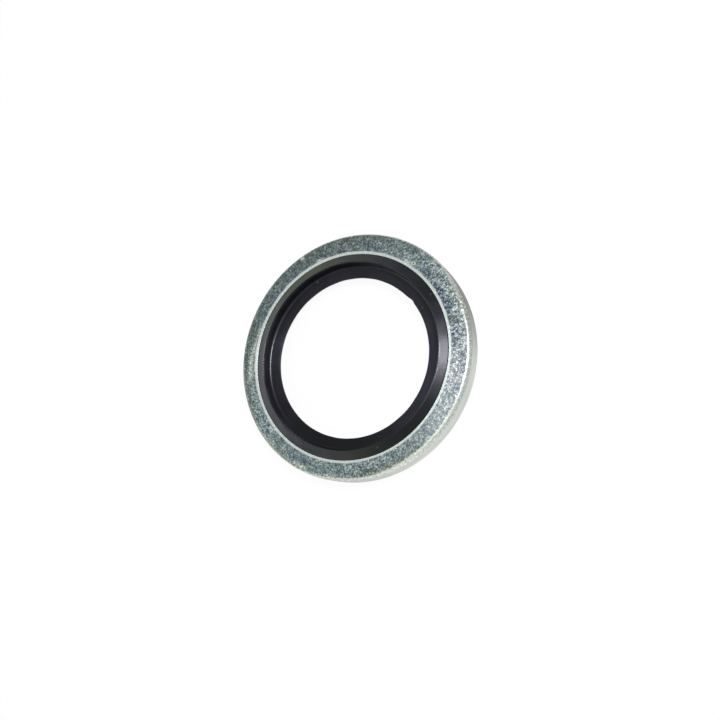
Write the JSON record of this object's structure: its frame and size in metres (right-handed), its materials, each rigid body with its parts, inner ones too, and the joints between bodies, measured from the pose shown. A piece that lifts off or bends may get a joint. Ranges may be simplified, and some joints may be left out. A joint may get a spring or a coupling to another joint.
{
  "type": "bonded sealing washer",
  "caption": "Bonded sealing washer: zinc-plated steel ring with a vulcanised rubber seal that has a sharp lip above each face and a thin inner web.",
  "frame": {"origin": "on the washer's axis, in the plane that its lower lip stands on", "axes": "+Z along the washer's axis, up; X and Y in the plane of the washer"},
  "size_m": [0.0286, 0.0286, 0.003],
  "materials": {
    "zinc_plated_steel": "bright zinc over a grained stamped blank, with a smooth turned rim",
    "black_rubber": "smooth moulded black nitrile, satin"
  },
  "bodies": {
    "root": {"metal_ring": "zinc_plated_steel", "rubber_seal": "black_rubber"}
  },
  "joints": []
}
